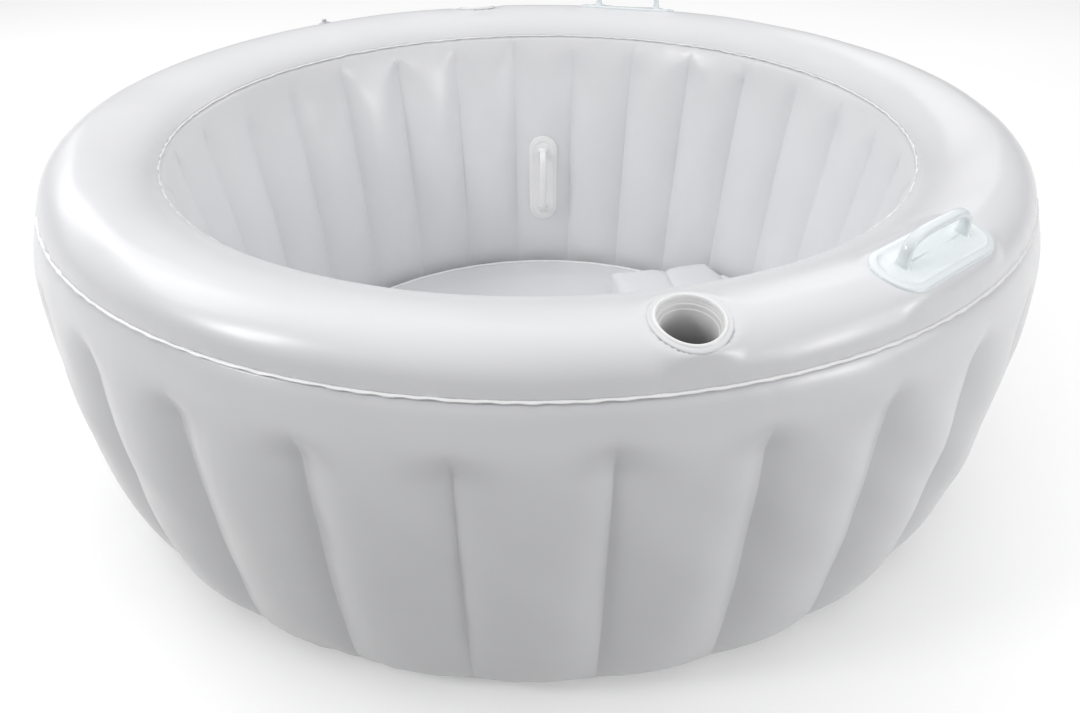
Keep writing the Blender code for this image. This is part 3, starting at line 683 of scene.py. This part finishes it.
def build_welts(material):
    """The welts of the three seams."""
    for name, offset, z, outwards, width, waves in (
        ("outer_seam", -WELT_SINK, SEAM_Z, 1, 0.0058, 0.0006),
        ("inner_seam", WELT_SINK - WALL_WIDTH, INNER_SEAM_Z, -1, 0.0040, 0.0007),
        ("base_seam", -WELT_SINK - BASE_IN, BASE_SEAM_Z, 1, 0.0044, 0.0009),
    ):
        build_welt(name, f"{name}_welt", offset, z, outwards, width, waves, material)


def build_base(material):
    """The ground sheet: flat underneath, curling up to the base seam."""
    columns = 320
    share = np.arange(columns) / columns
    angle = equal_arc_angle(share)
    edge = BASE_SEAM_Z - SEAM_GAP - SHEET
    rings = []
    for k in np.linspace(0.0, 1.0, 12):
        back = 0.085 * (1 - k)
        pucker = wandering(share, 30, 120, 0.0008) * k
        rings.append(ring_points(angle, -BASE_IN - back, edge * k ** 2.2 + pucker * k * (1 - k)))
    points = np.concatenate([np.zeros((1, 3)), *rings])
    faces = [tuple(face) for face in grid_faces(len(rings), columns) + 1]
    faces += [(0, 1 + (i + 1) % columns, 1 + i) for i in range(columns)]
    base = make_piece("base", points, faces, material, "pale_vinyl", ["base_sheet"])
    thicken(base)


# ---------------------------------------------------------------- floor and seat cushions


def mesh_arrays(mesh):
    points = np.empty(len(mesh.vertices) * 3)
    mesh.vertices.foreach_get("co", points)
    return points.reshape(-1, 3), [tuple(face.vertices) for face in mesh.polygons]


def evaluated_copy(helper):
    graph = bpy.context.evaluated_depsgraph_get()
    return bpy.data.meshes.new_from_object(helper.evaluated_get(graph))


def inflated(node, voxel, cap):
    """(points, faces) of a CAD cushion blown up as cloth, no point moved further than cap."""
    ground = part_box(node)[0].z
    helper = bpy.data.objects.new(f"{node}_cloth", frame["nodes"][node].data.copy())
    bpy.context.scene.collection.objects.link(helper)
    remesh = helper.modifiers.new("remesh", "REMESH")
    remesh.mode = "VOXEL"
    remesh.voxel_size = voxel
    even = evaluated_copy(helper)
    helper.modifiers.clear()
    helper.data = even
    rest, _ = mesh_arrays(even)
    cloth = helper.modifiers.new("cloth", "CLOTH")
    cloth.settings.quality = 4
    cloth.settings.mass = 0.3
    cloth.settings.tension_stiffness = 25.0
    cloth.settings.compression_stiffness = 25.0
    cloth.settings.bending_stiffness = 2.0
    cloth.settings.use_pressure = True
    cloth.settings.uniform_pressure_force = 4.0
    cloth.settings.effector_weights.gravity = 0.0
    for number in range(1, 21):
        bpy.context.scene.frame_set(number)
    blown, _ = mesh_arrays(evaluated_copy(helper))
    bpy.context.scene.frame_set(1)
    helper.modifiers.clear()
    shift = blown - rest
    length = np.linalg.norm(shift, axis=1, keepdims=True)
    rest = rest + shift * np.minimum(1.0, cap / np.maximum(length, 1e-9))
    rest[:, 2] = np.maximum(rest[:, 2], ground)
    even.vertices.foreach_set("co", rest.ravel())
    finer = helper.modifiers.new("finer", "SUBSURF")
    finer.levels = 1
    finer.render_levels = 1
    points, faces = mesh_arrays(evaluated_copy(helper))
    bpy.data.objects.remove(helper)
    return points, faces


def build_floor_pad(material, highlight_bead_material):
    """The air floor: flat where its edge is welded, with a thin bead along that weld."""
    points, faces = inflated("floor_cushion", 0.009, 0.004)
    edge = -WALL_WIDTH - FLOOR_IN - FLOOR_CLEAR
    inwards = edge - plan_offset(points[:, 0], points[:, 1])
    valve, _ = joint_place("floor_valve_flip")
    from_valve = np.hypot(points[:, 0] - valve[0], points[:, 1] - valve[1])
    top = points[:, 2] > FLOOR_Z / 2
    loose = smooth_step(0.030, 0.10, inwards) * smooth_step(0.030, 0.070, from_valve)
    level = np.minimum(points[:, 2], FLOOR_Z)
    level[top & (from_valve < 0.032)] = FLOOR_Z
    points[:, 2] = np.where(top, level + loose * np.maximum(points[:, 2] - level, 0), points[:, 2])
    pad = make_piece("floor_pad", points, faces, material, "pale_vinyl", ["floor_cushion"])
    build_bead("floor_bead", edge - 0.014, FLOOR_Z + 0.0010, 0.0030, highlight_bead_material)


def build_bead(name, offset, z, radius, material):
    """A thin round bead that runs along a weld, all the way round the tub."""
    share = np.arange(720) / 720
    angle = equal_arc_angle(share)
    wobble = wandering(share, 12, 60, 0.0006)
    rings = []
    for turn in np.arange(8) / 8 * 2 * math.pi:
        across = radius * 1.3 * math.cos(turn)
        rings.append(ring_points(angle, offset + wobble + across, z + radius * math.sin(turn)))
    faces = grid_faces(len(share), 8, wrap_rows=True)
    make_piece(name, np.stack(rings, axis=1), faces, material, "pale_vinyl", [], flip=True)


def build_seat_pad(material):
    """The seat: three air pillows side by side between two bowed welds."""
    points, faces = inflated("seat_cushion", 0.006, 0.006)
    x, y, z = points.T
    upper = smooth_step(SEAT_TOP - 0.040, SEAT_TOP - 0.008, z)
    bow = SEAT_BOW * (1 - (y / SEAT_HALF_WIDTH) ** 2)
    groove = np.zeros(len(points))
    for middle in SEAT_WELDS:
        away = np.abs(x + bow - middle)
        groove = groove + 0.0105 * np.exp(-away / 0.012)
        pucker = np.sin(310 * y + 40 * np.sin(9 * y)) * np.exp(-away / 0.016)
        groove = groove + 0.0007 * pucker
    points[:, 2] = z - upper * groove
    valve, _ = joint_place("seat_valve_flip")
    side = y < -SEAT_HALF_WIDTH + 0.030
    from_valve = np.hypot(x - valve[0], z - valve[2] + PUSH_HINGE)
    flat = 1 - smooth_step(0.020, 0.032, from_valve)
    points[:, 1] = np.where(side, y + flat * (-SEAT_HALF_WIDTH - y), y)
    pad = make_piece("seat_pad", points, faces, material, "pale_vinyl", ["seat_cushion"])


# ---------------------------------------------------------------- cup holders

# (radius beyond the opening's, height above the rim) over the flange and over the ring that
# stands on it, both from their outer edges
FLANGE_PROFILE = ((0.0104, -0.0008), (0.0106, 0.0001), (0.0100, 0.0007), (0.0088, 0.0009),
                  (0.0060, 0.0009), (0.0046, 0.0009), (0.0030, 0.0008))
RING_PROFILE = ((0.0048, -0.0004), (0.0047, 0.0010), (0.0041, 0.0020), (0.0030, 0.0027),
                (0.0016, 0.0028), (0.0006, 0.0020), (0.0000, 0.0004), (-0.0004, -0.0020),
                (-0.0006, -0.0060))
# (radius beyond the opening's, depth below the lip) down the stepped pocket
POCKET_PROFILE = ((-0.0008, 0.0030), (-0.0009, 0.0070), (-0.0016, 0.0076), (-0.0028, 0.0078),
                  (-0.0033, 0.0084), (-0.0035, 0.0128), (-0.0040, 0.0134), (-0.0050, 0.0136),
                  (-0.0055, 0.0142), (-0.0062, 0.0360), (-0.0068, 0.0520), (-0.0076, 0.0665),
                  (-0.0088, 0.0722), (-0.0115, 0.0750), (-0.0170, 0.0758), (-0.0260, 0.0760),
                  (-0.0380, 0.0760))


def build_cup_holder(name, side, flange_material, highlight_ring_material, pocket_painted_shade_vinyl, node):
    """A welded flange and ring on the rim, and the stepped pocket that hangs from it."""
    turn = np.arange(96) / 96 * 2 * math.pi
    centre = cup_centre(side)

    def ring(beyond, lift, follow):
        x = centre[0] + (CUP_RADIUS + beyond) * np.cos(turn)
        y = centre[1] + (CUP_RADIUS + beyond) * np.sin(turn)
        return np.stack([x, y, centre[2] + lift - follow * (centre[2] - rim_height(x, y))], -1)

    pocket = [ring(beyond, -depth, 1 - smooth_step(0.0, 0.074, depth))
              for beyond, depth in POCKET_PROFILE]
    for part, profile, material in (("flange", FLANGE_PROFILE, flange_material),
                                    ("ring", RING_PROFILE, highlight_ring_material)):
        rows = [ring(beyond, lift, 1.0) for beyond, lift in profile]
        faces = grid_faces(len(rows), len(turn))
        thicken(make_piece(f"{name}_{part}", np.concatenate(rows), faces, material, "pale_vinyl",
                           [], sharp=60))
    faces = [tuple(face) for face in grid_faces(len(pocket), len(turn))]
    last = (len(pocket) - 1) * len(turn)
    faces.append(tuple(range(last, last + len(turn))))
    cup = make_piece(f"{name}_pocket", np.concatenate(pocket), faces, pocket_painted_shade_vinyl, "pale_vinyl",
                     [node], sharp=60)
    thicken(cup)


# ---------------------------------------------------------------- handles

# (distance in from the outline, height above the surface) over a glued plate, from its edge
PLATE_PROFILE = ((0.0000, -0.0010), (0.0000, 0.0014), (0.0004, 0.0024), (0.0012, 0.0030),
                 (0.0026, 0.0032), (0.0076, 0.0032), (0.0084, 0.0036), (0.0094, 0.0042),
                 (0.0104, 0.0042), (0.0114, 0.0037), (0.0124, 0.0033), (0.0170, 0.0033))


def stadium(length, width):
    """(middle along, outward along, outward across) round a plate with half round ends."""
    half = (length - width) / 2
    turn = np.linspace(-math.pi / 2, math.pi / 2, 25)
    straight = np.linspace(half, -half, 20)[1:-1]
    end, side = np.ones(len(turn)), np.ones(len(straight))
    middle = np.concatenate([end * half, straight, -end * half, -straight])
    outward = np.concatenate([turn, side * math.pi / 2, turn + math.pi, -side * math.pi / 2])
    return middle, np.cos(outward), np.sin(outward)


def build_plate(name, spot, size, material, node):
    """A glued plate with a bead near its edge and a low boss under each foot of the grip."""
    middle, out_along, out_across = stadium(*size)
    half = size[1] / 2
    field = np.linspace(0.021, half - 0.0005, 8)
    insets = [inset for inset, _ in PLATE_PROFILE] + list(field)
    lifts = [lift for _, lift in PLATE_PROFILE] + [0.0034] * len(field)
    rows = []
    for inset, lift in zip(insets, lifts):
        along = middle + (half - inset) * out_along
        across = (half - inset) * out_across
        from_foot = ((np.abs(along) - GRIP_HALF) / 0.017) ** 2 + (across / 0.014) ** 2
        boss = 0.0022 * np.exp(-from_foot ** 2) * (inset > 0.012)
        rows.append(spot(along, across, lift + boss))
    count = len(middle)
    faces = [tuple(face) for face in grid_faces(len(rows), count)]
    last = (len(rows) - 1) * count
    faces.append(tuple(range(last, last + count)))
    make_piece(name, np.concatenate(rows), faces, material, "handle_vinyl", [node], sharp=60)


def build_grip(name, spot, material, node):
    """A flat moulded bar on two sloping legs that flare where they meet the plate."""
    steps, sides = 110, 32
    turn = np.linspace(0.0, math.pi, 3000)
    along = GRIP_HALF * np.sign(np.cos(turn)) * np.abs(np.cos(turn)) ** 0.55
    rise = GRIP_FOOT - 0.003 + (GRIP_HEIGHT + 0.003) * np.sin(turn) ** 0.48
    travelled = np.concatenate([[0.0], np.cumsum(np.hypot(np.diff(along), np.diff(rise)))])
    even = np.linspace(0.0, travelled[-1], steps)
    along = np.interp(even, travelled, along)
    rise = np.interp(even, travelled, rise)
    centre = spot(along, np.zeros(steps), rise)
    beside = np.full(steps, 0.004)
    side = unit(spot(along, beside, rise) - spot(along, -beside, rise))
    ahead = unit(np.gradient(centre, axis=0))
    up = unit(np.cross(side, ahead))
    flare = 1 + 0.55 * np.exp(-np.minimum(even, travelled[-1] - even) / 0.006)
    around = np.arange(sides) / sides * 2 * math.pi
    wide = 0.0082 * np.sign(np.cos(around)) * np.abs(np.cos(around)) ** 0.75
    tall = 0.0060 * np.sign(np.sin(around)) * np.abs(np.sin(around)) ** 0.75
    points = centre[:, None] + flare[:, None, None] * (
        side[:, None] * wide[None, :, None] + up[:, None] * tall[None, :, None])
    faces = grid_faces(steps, sides)
    make_piece(name, points, faces, material, "handle_vinyl", [node], sharp=80, closed=True)


def unit(vectors):
    return vectors / np.linalg.norm(vectors, axis=-1, keepdims=True)


def build_rim_handle(name, angle, material):
    """A handle whose plate lies along the rim."""
    centre, ahead, aside = seat_frame(angle)

    def spot(along, across, lift):
        flat = centre + ahead * np.asarray(along)[:, None] + aside * np.asarray(across)[:, None]
        flat[:, 2] = rim_height(flat[:, 0], flat[:, 1]) + lift
        return flat

    build_plate(f"{name}_plate", spot, RIM_HANDLE_SIZE, material, f"{name}_patch")
    build_grip(f"{name}_bar", spot, material, f"{name}_grip")


def build_wall_handle(name, rib, material):
    """A handle whose plate stands upright on one rib of the inner wall."""
    angle = equal_arc_angle(rib / RIBS)
    half_rib = math.pi / RIBS
    offset = -WALL_WIDTH - FLOOR_IN
    speed = math.hypot((SEAM_X + offset) * math.sin(angle), (SEAM_Y + offset) * math.cos(angle))

    def spot(along, across, lift):
        z = WALL_HANDLE_Z + np.asarray(along)
        turned = np.asarray(across) / speed
        here = inner_wall_offset(turned / half_rib, z) - lift - SHEET
        return ring_points(angle + turned, here, z)

    build_plate(f"{name}_plate", spot, WALL_HANDLE_SIZE, material, f"{name}_patch")
    build_grip(f"{name}_bar", spot, material, f"{name}_grip")


# ---------------------------------------------------------------- valves


def rounded(profile, radius, closed):
    """A profile with its corners swapped for small arcs."""
    corners = np.array(profile)
    out = []
    for i, corner in enumerate(corners):
        if not closed and i in (0, len(corners) - 1):
            out.append(corner)
            continue
        back, ahead = corners[i - 1] - corner, corners[(i + 1) % len(corners)] - corner
        cut = min(radius, np.linalg.norm(back) * 0.45, np.linalg.norm(ahead) * 0.45)
        start, end = corner + unit(back) * cut, corner + unit(ahead) * cut
        for t in (0.0, 0.33, 0.67, 1.0):
            out.append((1 - t) ** 2 * start + 2 * t * (1 - t) * corner + t * t * end)
    return np.array(out)


def turned(profile, radius=0.0005, closed=True, knurls=0):
    """A part turned about Z; knurls puts grip ribs round its widest band."""
    rings = rounded(profile, radius, closed)
    sides = 72
    turn = np.arange(sides) / sides * 2 * math.pi
    widest = rings[:, 0].max()
    rows = []
    for reach, z in rings:
        grip = 0.0005 * np.cos(knurls * turn) * (reach > widest - 0.0006) if knurls else 0.0
        around = reach + grip
        rows.append(np.stack([around * np.cos(turn), around * np.sin(turn), turn * 0 + z], -1))
    faces = [tuple(face) for face in grid_faces(len(rows), sides, wrap_rows=closed)]
    return np.concatenate(rows), faces


def rod(radius, half, x, z):
    """A round bar along Y."""
    points, faces = turned(((0, -half), (radius, -half), (radius, half), (0, half)), 0.0003, False)
    return points[:, [0, 2, 1]] * [1, 1, -1] + [x, 0, z], faces


def rounded_box(low, high, radius):
    """A box whose edges are rounded: the eight eighths of a small ball, joined by faces."""
    low, high = np.array(low), np.array(high)
    steps = 6
    middle, half = (low + high) / 2, (high - low) / 2 - radius
    side = np.tan(np.linspace(-1, 1, steps) * math.pi / 4)
    points, faces = [], []
    for axis in range(3):
        for sign in (-1, 1):
            u, v = np.meshgrid(side, side, indexing="ij")
            aim = np.empty((steps, steps, 3))
            aim[..., axis] = sign
            aim[..., (axis + 1) % 3] = u
            aim[..., (axis + 2) % 3] = v
            aim = unit(aim).reshape(-1, 3)
            start = steps ** 2 * len(points)
            points.append(middle + np.sign(aim) * half + aim * radius)
            grid = grid_faces(steps, steps, wrap_columns=False) + start
            faces += [tuple(face) for face in (grid[:, ::-1] if sign > 0 else grid)]
    return np.concatenate(points), faces


def merged(*parts):
    """Several (points, faces) as one."""
    points, faces = [], []
    for part_points, part_faces in parts:
        start = sum(map(len, points))
        points.append(part_points)
        faces += [tuple(i + start for i in face) for face in part_faces]
    return np.concatenate(points), faces


def ears(hinge_x, inner_x, low, top):
    """Two ears and the bar between them, which a lid's barrel turns on."""
    parts = [rod(0.0009, 0.0046, hinge_x, top + HINGE_RISE)]
    for inner, outer in ((-0.0056, -0.0036), (0.0036, 0.0056)):
        corner = (hinge_x + 0.0016, outer, top + 0.0026)
        parts.append(rounded_box((inner_x, inner, low), corner, 0.0006))
    return parts


def lid(radius, plug, hinge_x, top):
    """A lid with a plug under it, a sunk ring on top, and the arm and barrel of its hinge."""
    upper, under = top + 0.0026, top + 0.0004
    profile = ((0.0002, upper - 0.0005), (radius * 0.45, upper - 0.0005), (radius * 0.52, upper),
               (radius, upper), (radius, under), (plug, under), (plug - 0.0006, top - 0.0026),
               (0.0002, top - 0.0026))
    arm_low, arm_high = (radius - 0.003, -0.003, top + 0.0006), (hinge_x, 0.003, top + 0.0024)
    arm = rounded_box(arm_low, arm_high, 0.0005)
    barrel = rod(0.0024, 0.0030, hinge_x, top + HINGE_RISE)
    return merged(turned(profile, 0.0005, False), arm, barrel)


def placed(part, origin, z_axis, x_hint):
    """The part moved from its own axes to this place on the tub."""
    points, faces = part
    z_axis = unit(np.array(z_axis, float))
    x_axis = unit(np.array(x_hint) - z_axis * np.dot(x_hint, z_axis))
    y_axis = np.cross(z_axis, x_axis)
    return points @ np.array([x_axis, y_axis, z_axis]) + np.array(origin), faces


def make_valve_part(name, part, material, node, body=BODY):
    make_piece(name, *part, material, "valve_plastic", [node], body, sharp=38, closed=True)


def build_screw_valve(name, material):
    """A glued ring, the insert that screws into it and the cap that flips on the insert."""
    origin, axis = joint_place(f"{name}_unscrew")
    place = (origin, axis, (0.0, 0.0, 1.0))
    insert = merged(turned(SCREW_INSERT, knurls=24), *ears(SCREW_HINGE, 0.0170, 0.0084, SCREW_TOP))
    cap = lid(0.0150, 0.0054, SCREW_HINGE, SCREW_TOP)
    make_valve_part(f"{name}_ring", placed(turned(SCREW_BASE), *place), material, f"{name}_base")
    make_valve_part(f"{name}_body", placed(insert, *place), material, f"{name}_insert",
                    f"{name}_insert")
    make_valve_part(f"{name}_lid", placed(cap, *place), material, f"{name}_cap", f"{name}_cap")


def build_push_valves(material):
    """The cushions' small valves: a glued ring and a push-in stopper on a hinge."""
    for name, z_axis, x_axis in (("floor_valve", (0, 0, 1), (1, 0, 0)),
                                 ("seat_valve", (0, -1, 0), (0, 0, 1))):
        hinge, _ = joint_place(f"{name}_flip")
        origin = hinge - PUSH_HINGE * np.array(x_axis)
        origin = origin - (PUSH_TOP + HINGE_RISE) * np.array(z_axis)
        base = merged(turned(PUSH_BASE), *ears(PUSH_HINGE, 0.0098, 0.0008, PUSH_TOP))
        make_valve_part(f"{name}_ring", placed(base, origin, z_axis, x_axis), material,
                        f"{name}_base")
        stopper = lid(0.0090, 0.0044, PUSH_HINGE, PUSH_TOP)
        make_valve_part(f"{name}_lid", placed(stopper, origin, z_axis, x_axis), material,
                        f"{name}_stopper", f"{name}_stopper")


def paint_hidden_nodes(material):
    """The webs and the diaphragm inside the walls keep their CAD shape."""
    for name, node in frame["nodes"].items():
        if name.startswith("wall_web") or name == "rim_diaphragm":
            node.data.materials.clear()
            node.data.materials.append(material)


# ---------------------------------------------------------------- the whole tub


def build_tub():
    """Every piece, in the order in which the unevenness is drawn."""
    vinyl = vinyl_material("white_vinyl", (0.80, 0.803, 0.818), (0.77, 0.773, 0.793), 0.28, 0.36)
    # Painted light: the inner wall gets a paler copy of the white vinyl, lightened to make up for
    # the shade inside the tub
    lightened_lining = vinyl_material("lining_vinyl", (0.85, 0.852, 0.865), (0.82, 0.822, 0.838), 0.28, 0.36)
    hidden = vinyl_material("hidden_vinyl", (0.76, 0.76, 0.77), (0.73, 0.73, 0.74), 0.46, 0.58)
    gloss = plastic_material("handle_gloss", (0.88, 0.93, 0.945), (0.85, 0.905, 0.925), 0.20, 0.28)
    # Painted light: the wall handles get a whiter, less blue copy of the handle plastic, lightened
    # to make up for the shade they sit in on the inner wall
    shade_lifted_gloss = plastic_material("wall_handle_gloss", grey(0.95), grey(0.92), 0.20, 0.28)
    plastic = plastic_material("valve_plastic_soft", (0.76, 0.77, 0.78), (0.71, 0.72, 0.73),
                               0.34, 0.46)
    # Painted highlight: the welts, the floor bead and the cup rings get a whiter copy of the vinyl,
    # standing in for the light they catch
    edge = vinyl_material("welt_vinyl", grey(0.93), grey(0.89), 0.22, 0.32)
    build_rim(vinyl)
    build_outer_wall(vinyl)
    build_inner_wall(lightened_lining)
    build_welts(edge)
    build_base(vinyl)
    build_floor_pad(vinyl, edge)
    build_seat_pad(vinyl)
    # The cup pockets' vinyl carries painted shade, darker deeper down
    pocket = painted_shade_pocket_material("cup_vinyl")
    build_cup_holder("cup_front", -1, vinyl, edge, pocket, "cup_holder_front")
    build_cup_holder("cup_back", 1, vinyl, edge, pocket, "cup_holder_back")
    build_rim_handle("rim_handle_front", -RIM_HANDLE_ANGLE, gloss)
    build_rim_handle("rim_handle_back", RIM_HANDLE_ANGLE, gloss)
    build_wall_handle("wall_handle_back", WALL_HANDLE_RIB, shade_lifted_gloss)
    build_wall_handle("wall_handle_front", RIBS - WALL_HANDLE_RIB, shade_lifted_gloss)
    build_screw_valve("rim_valve", plastic)
    build_screw_valve("wall_valve", plastic)
    build_push_valves(plastic)
    paint_hidden_nodes(hidden)


add_camera()
add_lights()
set_white_balance()
add_floor()
build_tub()
